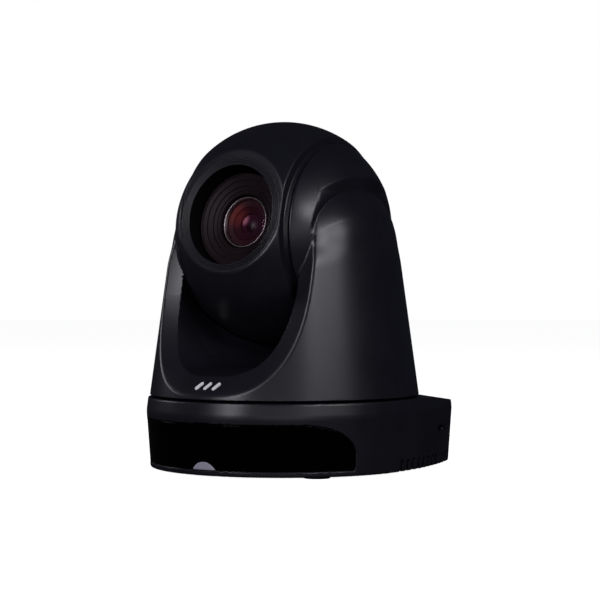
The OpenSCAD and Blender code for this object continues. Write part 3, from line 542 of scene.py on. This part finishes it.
def barrel_profile():
    """Wide conical lands between dark grooves, down to the seat of the front lens."""
    points = [(24.4, 25.1), (24.4, 39.2), (24.15, 39.7), (23.7, 39.85), (23.4, 39.7), (23.3, 39.1), (22.85, 39.1)]
    level = 39.5
    for r, r_next in ((22.7, 20.8), (20.3, 17.9), (17.4, 15.7)):
        drop = (r - r_next) * 0.36
        foot = level - drop
        points += [(r, level), (r_next + 0.1, foot), (r_next, foot - 0.6), (r_next - 0.35, foot - 0.6)]
        level = foot - 0.1
    points += [(15.2, level), (14.1, level - 0.35), (13.9, level - 1.0), (13.8, 33.4), (13.35, 33.2)]
    return points + [(13.35, 32.6), (10.7, 32.6), (10.7, 25.1)]


def window_panel(p):
    """The gloss window, a little below the housing's face, notched round the light pipe."""
    solid = base_solid(p)
    body = round_max(window_outline(p, -0.12), solid + 0.1, 0.12)
    body = np.maximum(np.maximum(body, -(solid + WINDOW_DEPTH)), p[:, 1] + 20.1)
    return round_max(body, -light_tab(p, 0.1), 0.1)


def light_pipe(p):
    """The frosted light pipe in the window's foot."""
    solid = base_solid(p)
    body = round_max(light_tab(p, -0.05), solid + 0.05, 0.3)
    return np.maximum(np.maximum(body, -(solid + WINDOW_DEPTH)), p[:, 1] + 50)


# piece: node it stands for, body, shape, low and high corner, cell
SKINS = {
    "housing_skin": ("base_housing", "base", base_housing, (-72, -72, 0.9), (72, 75.5, 35.5), 0.82),
    "window_panel": ("ir_window", "base", window_panel, (-72, -72, 3), (72, -20, 27.5), 0.7),
    "status_light": ("status_light_pipe", "base", light_pipe, (-8, -72, 3), (8, -66, 10), 0.3),
}
UP = (0, math.sin(math.radians(REST_PITCH)), math.cos(math.radians(REST_PITCH)))
# whole: body, shape, low and high corner, cell, a point and normal of the cut, piece: node it stands for
PAIRS = (
    ("rotor", "yoke", yoke_covers, (-70, -70, 36.5), (70, 70, 178), 0.8, (0, 0, 0), (0, 1, 0),
     {"rotor_rear_skin": "yoke_rear_cover", "rotor_front_skin": "yoke_front_cover"}),
    ("head", "head", head_shells, (-35, -58, 62), (35, 58, 179), 0.66, (0, 0, TILT_Z), UP,
     {"head_top_skin": "head_upper_shell", "head_bottom_skin": "head_lower_shell"}),
)


def skin_pieces():
    """Every moulded outer piece, riding on its body."""
    pieces = {}
    for name, (node, body, shape, low, high, cell) in SKINS.items():
        piece = implicit_mesh(name, shape, low, high, cell)
        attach(piece, body)
        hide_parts(node)
        pieces[name] = piece
    for whole, body, shape, low, high, cell, point, normal, nodes in PAIRS:
        mesh = implicit_mesh(whole, shape, low, high, cell)
        for name, piece in cut_apart(mesh, shape, list(nodes), point, normal).items():
            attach(piece, body)
            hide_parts(nodes[name])
            pieces[name] = piece
    return pieces


def glass_profile(apex, thick, radius, edge):
    """A thin shell of glass whose two faces are parallel."""
    front = arc(0, apex - radius, radius, edge, 0, 24)
    back = arc(0, apex - radius, radius - thick, 0, edge, 24)
    return front + back


def cone_profile():
    """The stepped seat behind the front glass, with one raised lip."""
    points = [(11.6, 31.0), (11.6, 32.95), (9.0, 32.5), (8.6, 33.25), (8.3, 33.25), (8.1, 32.4)]
    for i in range(3):
        r, d = 8.0 - 0.85 * i, 32.3 - 0.5 * i
        points += [(r, d), (r - 0.7, d - 0.25), (r - 0.78, d - 0.45)]
    return points + [(5.4, 30.4), (5.4, 29.0), (10.4, 29.0), (10.4, 31.0)]


def lens_pieces():
    """The rings and glass in front of the camera block, from profiles of (radius, distance along the axis)."""
    ring = [(13.1, 32.7), (13.1, 34.9), (12.95, 35.2), (12.65, 35.25)]
    ring += [(12.35, 35.0), (12.1, 34.2), (11.9, 33.9), (11.9, 32.7)]
    second = arc(0, 20.4, 10.8, 5.3, 0, 16) + [(0, 27.5), (5.3, 27.5)]
    profiles = {
        "hood_rings": (softened(hood_profile(), 0.06), 224, LENS_DROP, "lens_hood"),
        "hood_wall": (softened(wall_profile(), 0.1), 160, LENS_DROP, None),
        "barrel_front": (softened(barrel_profile(), 0.06), 192, BARREL_DROP, "lens_barrel"),
        "bright_ring": (softened(ring, 0.08), 160, BARREL_DROP, "lens_ring"),
        "front_element": (glass_profile(34.9, 0.7, 60.0, 11.75), 128, BARREL_DROP, "front_lens"),
        "inner_rings": (softened(cone_profile(), 0.04), 128, BARREL_DROP, "inner_lens"),
        "second_element": (second, 96, BARREL_DROP, None),
    }
    pieces = {}
    for name, (profile, steps, drop, node) in profiles.items():
        piece = revolve(name, profile, steps, drop)
        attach(piece, "head")
        if node:
            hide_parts(node)
        pieces[name] = piece
    return pieces


# ---- materials ----


def shader(name):
    """A new node material: itself, its nodes, its links and its main shader."""
    mat = bpy.data.materials.new(name)
    mat.use_nodes = True
    return mat, mat.node_tree.nodes, mat.node_tree.links, mat.node_tree.nodes["Principled BSDF"]


def noise(nodes, links, coords, scale, detail=3.0, rough=0.6):
    """Noise of about 0.3 to 0.7 over the given coordinates."""
    n = nodes.new("ShaderNodeTexNoise")
    n.inputs["Scale"].default_value = scale
    n.inputs["Detail"].default_value = detail
    n.inputs["Roughness"].default_value = rough
    links.new(coords, n.inputs["Vector"])
    return n.outputs["Fac"]


def ramp(nodes, links, value, low, high):
    """value from 0.3..0.7 turned into low..high."""
    n = nodes.new("ShaderNodeMapRange")
    n.inputs["From Min"].default_value = 0.3
    n.inputs["From Max"].default_value = 0.7
    n.inputs["To Min"].default_value = low
    n.inputs["To Max"].default_value = high
    links.new(value, n.inputs["Value"])
    return n.outputs["Result"]


def blend_colours(nodes, links, value, dark, light):
    """Colour from dark at 0 to light at 1."""
    n = nodes.new("ShaderNodeMix")
    n.data_type = "RGBA"
    n.inputs["A"].default_value = (*dark, 1)
    n.inputs["B"].default_value = (*light, 1)
    links.new(value, n.inputs["Factor"])
    return n.outputs["Result"]


def relief(nodes, links, height, strength, depth, bsdf):
    """A bump of the given depth in millimetres."""
    bump = nodes.new("ShaderNodeBump")
    bump.inputs["Strength"].default_value = strength
    bump.inputs["Distance"].default_value = depth * MM
    links.new(height, bump.inputs["Height"])
    links.new(bump.outputs["Normal"], bsdf.inputs["Normal"])


def finish_material(
    name, colour, rough, grain=1600, depth=0.02, metal=0.0, specular=0.5, stretch=(1, 1, 1), shift=0.15
):
    """Moulded, turned or plated finish: broad and fine noise in colour and roughness, and a fine grain."""
    mat, nodes, links, bsdf = shader(name)
    bsdf.inputs["Metallic"].default_value = metal
    bsdf.inputs["Specular IOR Level"].default_value = specular
    place = nodes.new("ShaderNodeTexCoord")
    turn = nodes.new("ShaderNodeMapping")
    turn.inputs["Scale"].default_value = stretch
    links.new(place.outputs["Object"], turn.inputs["Vector"])
    coords = turn.outputs["Vector"]
    broad = noise(nodes, links, coords, 45, 2.0)
    fine = noise(nodes, links, coords, grain, 2.5, 0.7)
    dark = [c * (1 - shift) for c in colour]
    light = [min(c * (1 + shift), 1) for c in colour]
    tint = blend_colours(nodes, links, ramp(nodes, links, broad, 0, 1), dark, light)
    links.new(tint, bsdf.inputs["Base Color"])
    mixed = nodes.new("ShaderNodeMath")
    mixed.operation = "ADD"
    links.new(ramp(nodes, links, broad, rough * 0.93, rough * 1.03), mixed.inputs[0])
    links.new(ramp(nodes, links, fine, -0.03 * rough, 0.05 * rough), mixed.inputs[1])
    links.new(mixed.outputs["Value"], bsdf.inputs["Roughness"])
    relief(nodes, links, fine, 0.6, depth, bsdf)
    return mat


CHARCOAL = (0.0075, 0.0078, 0.0115)
FINISHES = {
    "shell_plastic": dict(colour=CHARCOAL, rough=0.33, grain=2600, depth=0.01, specular=0.4),
    "window_plastic": dict(colour=(0.0004, 0.0004, 0.0005), rough=0.12, grain=900, depth=0.0006, specular=0.04),
    "light_pipe": dict(colour=(0.34, 0.33, 0.4), rough=0.5, grain=1500, depth=0.01, shift=0.06),
    "sensor_dark": dict(colour=(0.02, 0.012, 0.02), rough=0.15, depth=0.001),
    "panel_metal": dict(colour=(0.012, 0.012, 0.014), rough=0.5, grain=2200, depth=0.02),
    "port_metal": dict(colour=(0.58, 0.58, 0.6), rough=0.3, metal=1.0, stretch=(1, 8, 1), depth=0.004),
    "jack_plastic": dict(colour=(0.012, 0.012, 0.013), rough=0.35),
    "audio_green": dict(colour=(0.1, 0.38, 0.18), rough=0.4),
    "board": dict(colour=(0.012, 0.09, 0.035), rough=0.3, grain=700, depth=0.02, shift=0.3),
    "chips": dict(colour=(0.015, 0.015, 0.016), rough=0.5),
    "brass": dict(colour=(0.72, 0.54, 0.25), rough=0.3, metal=1.0, stretch=(1, 1, 10), depth=0.004),
    "rubber": dict(colour=(0.012, 0.012, 0.012), rough=0.8, grain=1800, depth=0.03, specular=0.3),
    "steel": dict(colour=(0.6, 0.61, 0.62), rough=0.34, metal=1.0, grain=1200, depth=0.004),
    "spindle_metal": dict(colour=(0.6, 0.61, 0.63), rough=0.28, metal=1.0, stretch=(1, 1, 12), depth=0.004),
    "bearing_steel": dict(colour=(0.7, 0.7, 0.72), rough=0.16, metal=1.0, stretch=(1, 1, 12), depth=0.002),
    "acetal": dict(colour=(0.58, 0.57, 0.52), rough=0.45, grain=1300, shift=0.05),
    "platform_plastic": dict(colour=(0.02, 0.02, 0.022), rough=0.55, depth=0.03),
    "motor_can": dict(colour=(0.5, 0.51, 0.53), rough=0.3, metal=1.0, stretch=(1, 1, 8), depth=0.004),
    "belt_rubber": dict(colour=(0.01, 0.01, 0.01), rough=0.7, grain=1600, depth=0.03),
    "mark": dict(colour=(0.78, 0.78, 0.8), rough=0.4, grain=1800, depth=0.004, shift=0.04),
    "barrel": dict(colour=(0.013, 0.0075, 0.0095), rough=0.45, grain=1500, depth=0.002, specular=0.12),
    "hood_black": dict(colour=(0.0009, 0.0009, 0.0014), rough=0.85, grain=1500, depth=0.01, specular=0.08),
    "silver": dict(colour=(0.34, 0.29, 0.3), rough=0.36, metal=1.0, grain=2500, depth=0.001, shift=0.06),
    "block": dict(colour=(0.02, 0.02, 0.022), rough=0.6, depth=0.02),
    "cell": dict(colour=(0.04, 0.04, 0.05), rough=0.3),
    "hood_dark": dict(colour=(0.007, 0.0073, 0.0105), rough=0.4, grain=2400, depth=0.008, specular=0.4),
}


def coated_glass():
    """Thin clear glass with a faint red coating that shows in its reflections."""
    mat, nodes, links, bsdf = shader("coated_glass")
    bsdf.inputs["Alpha"].default_value = 0.06
    bsdf.inputs["Specular IOR Level"].default_value = 0.2
    bsdf.inputs["Specular Tint"].default_value = (1.0, 0.5, 0.6, 1)
    place = nodes.new("ShaderNodeTexCoord")
    dust = noise(nodes, links, place.outputs["Object"], 500, 4.0)
    links.new(ramp(nodes, links, dust, 0.02, 0.05), bsdf.inputs["Roughness"])
    tone = noise(nodes, links, place.outputs["Object"], 60, 2.0)
    colour = blend_colours(nodes, links, ramp(nodes, links, tone, 0, 1), (0.1, 0.01, 0.025), (0.12, 0.02, 0.04))
    links.new(colour, bsdf.inputs["Base Color"])
    relief(nodes, links, dust, 0.05, 0.001, bsdf)
    return mat


def lens_place(x, up, d):
    """A point given across, up and out along the lens axis, in metres."""
    tilt = math.radians(REST_PITCH)
    u = up - BARREL_DROP
    y = u * math.sin(tilt) - d * math.cos(tilt)
    z = TILT_Z + u * math.cos(tilt) + d * math.sin(tilt)
    return Vector((x, y, z)) * MM


def near(nodes, links, coords, centre, radius, soft):
    """1 within radius of centre, falling to 0 over the next soft millimetres."""
    gap = nodes.new("ShaderNodeVectorMath")
    gap.operation = "DISTANCE"
    gap.inputs[1].default_value = centre
    links.new(coords, gap.inputs[0])
    fall = nodes.new("ShaderNodeMapRange")
    fall.interpolation_type = "SMOOTHSTEP"
    fall.inputs["From Min"].default_value = radius * MM
    fall.inputs["From Max"].default_value = (radius + soft) * MM
    fall.inputs["To Min"].default_value = 1.0
    fall.inputs["To Max"].default_value = 0.0
    links.new(gap.outputs["Value"], fall.inputs["Value"])
    return fall.outputs["Result"]


def lens_coating_with_painted_light(name, base, painted_light_spots, rough):
    """Coated glass deep in the lens: patches of painted reflection, painted highlight and painted shade that
    blend over one another, with fine dust.
    """
    mat, nodes, links, bsdf = shader(name)
    place = nodes.new("ShaderNodeTexCoord")
    coords = place.outputs["Object"]
    tone = noise(nodes, links, coords, 300, 2.0)
    dark, light = [c * 0.9 for c in base], [c * 1.1 for c in base]
    colour = blend_colours(nodes, links, ramp(nodes, links, tone, 0, 1), dark, light)
    # Each spot paints a reflection, a highlight or shade into the base colour.
    for centre, radius, soft, tint in painted_light_spots:
        mix = nodes.new("ShaderNodeMix")
        mix.data_type = "RGBA"
        mix.inputs["B"].default_value = (*tint, 1)
        links.new(colour, mix.inputs["A"])
        links.new(near(nodes, links, coords, lens_place(*centre), radius, soft), mix.inputs["Factor"])
        colour = mix.outputs["Result"]
    links.new(colour, bsdf.inputs["Base Color"])
    dust = noise(nodes, links, coords, 1200, 3.0)
    links.new(ramp(nodes, links, dust, rough * 0.85, rough * 1.15), bsdf.inputs["Roughness"])
    bsdf.inputs["Specular IOR Level"].default_value = 0.12
    relief(nodes, links, dust, 0.2, 0.001, bsdf)
    return mat


# (across, up, out), radius and fade in millimetres, colour
# Painted reflection: a red patch at the upper left of the cone; painted shade: a dark purple patch on its right.
CONE_REFLECTION_AND_SHADE = (
    ((-8.5, 5, 32), 2.5, 6.5, (0.13, 0.016, 0.014)),
    ((9, 0, 32), 2.0, 6.0, (0.025, 0.01, 0.02)),
)
PUPIL_HIGHLIGHT_AND_SHADE = (
    # Painted highlight: a pink spot up and left of the pupil's centre; painted shade: the near-black pupil a
    # little below the lens axis.
    ((-3.6, 2.2, 30.6), 0.8, 3.0, (0.55, 0.2, 0.27)),
    ((0.6, -2.5, 30.9), 1.5, 1.5, (0.002, 0.001, 0.003)),
)


def paint(obj, mat):
    """Give a piece its one material."""
    obj.data.materials.clear()
    obj.data.materials.append(mat)


def paint_all(skins, lens):
    """Materials for every CAD node and every visual piece."""
    mats = {slot: finish_material(slot, **values) for slot, values in FINISHES.items()}
    mats["coated_glass"] = coated_glass()
    # The inner cone carries a painted reflection and painted shade.
    mats["inner_element"] = lens_coating_with_painted_light("inner_element", (0.022, 0.006, 0.011), CONE_REFLECTION_AND_SHADE, 0.5)
    for entry in frame["record"]["subparts"]:
        # The base plate, seen through the vents, takes the dark panel finish: painted shade that keeps the vents
        # dark.
        finish = "panel_metal" if entry["node"] == "base_plate" else entry["material_slot"]
        for place in frame["nodes"][entry["node"]].material_slots:
            place.material = mats[finish]
    for name, piece in skins.items():
        slot = {"window_panel": "window_plastic", "status_light": "light_pipe"}.get(name, "shell_plastic")
        paint(piece, mats[slot])
    paint(lens["hood_rings"], mats["hood_dark"])
    paint(lens["hood_wall"], mats["hood_black"])
    paint(lens["barrel_front"], mats["barrel"])
    paint(lens["bright_ring"], mats["silver"])
    paint(lens["front_element"], mats["coated_glass"])
    paint(lens["inner_rings"], mats["inner_element"])
    # The pupil element carries a painted highlight and painted shade.
    pupil = lens_coating_with_painted_light("pupil", (0.035, 0.01, 0.026), PUPIL_HIGHLIGHT_AND_SHADE, 0.3)
    paint(lens["second_element"], pupil)


# ---- studio ----

VIEW_AZIMUTH, VIEW_DISTANCE, VIEW_HEIGHT, VIEW_LENS = 35.0, 1.024, 0.0959, 118.6
AIM_RIGHT, AIM_HEIGHT = 0.00805, 0.0866


def toward(azimuth, elevation, distance):
    """A vector out from the object; azimuth 0 is the side of the lens."""
    a, e = math.radians(azimuth), math.radians(elevation)
    return Vector((math.sin(a) * math.cos(e), -math.cos(a) * math.cos(e), math.sin(e))) * distance


def camera():
    """The camera at the photograph's viewing angle, far off with a long lens."""
    data = bpy.data.cameras.new("view")
    data.lens, data.sensor_width = VIEW_LENS, 36.0
    cam = bpy.data.objects.new("view", data)
    a = math.radians(VIEW_AZIMUTH)
    cam.location = toward(VIEW_AZIMUTH, 0, VIEW_DISTANCE) + Vector((0, 0, VIEW_HEIGHT))
    aim = Vector((math.cos(a) * AIM_RIGHT, math.sin(a) * AIM_RIGHT, AIM_HEIGHT))
    cam.rotation_euler = (aim - cam.location).to_track_quat("-Z", "Y").to_euler()
    bpy.context.scene.collection.objects.link(cam)
    bpy.context.scene.camera = cam


def softbox(name, azimuth, elevation, distance, width, height, radiance, target=(0, 0, 0.1)):
    """A rectangular light of even radiance, facing the object."""
    data = bpy.data.lights.new(name, "AREA")
    data.shape = "RECTANGLE"
    data.size, data.size_y = width, height
    data.energy = radiance * width * height * math.pi
    data.color = (0.95, 0.93, 1.0)
    lamp = bpy.data.objects.new(name, data)
    lamp.location = Vector(target) + toward(azimuth, elevation, distance)
    lamp.rotation_euler = (Vector(target) - lamp.location).to_track_quat("-Z", "Y").to_euler()
    bpy.context.scene.collection.objects.link(lamp)


def seen_by_camera(nodes):
    """1 for rays straight from the camera."""
    return nodes.new("ShaderNodeLightPath").outputs["Is Camera Ray"]


def world():
    """White behind the object; dim for reflections, as in a dark studio with a lit backdrop."""
    scene = bpy.context.scene
    scene.world = bpy.data.worlds.new("studio")
    scene.world.use_nodes = True
    tree = scene.world.node_tree
    back = tree.nodes["Background"]
    mix = tree.nodes.new("ShaderNodeMix")
    mix.data_type = "RGBA"
    mix.inputs["A"].default_value = (0.016, 0.017, 0.023, 1)
    mix.inputs["B"].default_value = (1, 1, 1, 1)
    tree.links.new(seen_by_camera(tree.nodes), mix.inputs["Factor"])
    tree.links.new(mix.outputs["Result"], back.inputs["Color"])
    scene.view_settings.view_transform = "Standard"


def floor():
    """A plain pale disc under the object."""
    steps = 96
    rim = [toward(360 * i / steps, 0, 4.0) for i in range(steps)]
    mesh = bpy.data.meshes.new("floor")
    mesh.from_pydata([tuple(p) for p in rim], [], [tuple(range(steps))])
    obj = bpy.data.objects.new("floor", mesh)
    bpy.context.scene.collection.objects.link(obj)
    mat, nodes, links, bsdf = shader("floor")
    bsdf.inputs["Base Color"].default_value = (0.8, 0.8, 0.8, 1)
    bsdf.inputs["Roughness"].default_value = 0.9
    bsdf.inputs["Specular IOR Level"].default_value = 0.0
    bsdf.inputs["Emission Color"].default_value = (1, 1, 1, 1)
    bsdf.inputs["Emission Strength"].default_value = 0.95
    dim = nodes.new("ShaderNodeBsdfDiffuse")
    dim.inputs["Color"].default_value = (0.05, 0.05, 0.055, 1)
    mix = nodes.new("ShaderNodeMixShader")
    links.new(seen_by_camera(nodes), mix.inputs["Fac"])
    links.new(dim.outputs["BSDF"], mix.inputs[1])
    links.new(bsdf.outputs["BSDF"], mix.inputs[2])
    links.new(mix.outputs["Shader"], nodes["Material Output"].inputs["Surface"])
    mesh.materials.append(mat)


def lights():
    """Four softboxes and a broad fill from the front."""
    softbox("arm_softbox", 81, 24, 1.3, 0.48, 0.45, 6.6)
    softbox("dome_softbox", 61, 22, 1.2, 0.17, 0.2, 26.0)
    softbox("left_softbox", -10, 17, 1.4, 0.34, 0.6, 10.5)
    softbox("far_left_softbox", -80, 15, 1.4, 0.4, 0.3, 5.0)
    softbox("front_fill", 36, 0, 2.2, 2.0, 0.7, 1.4)


camera()
world()
floor()
lights()
paint_all(skin_pieces(), lens_pieces())
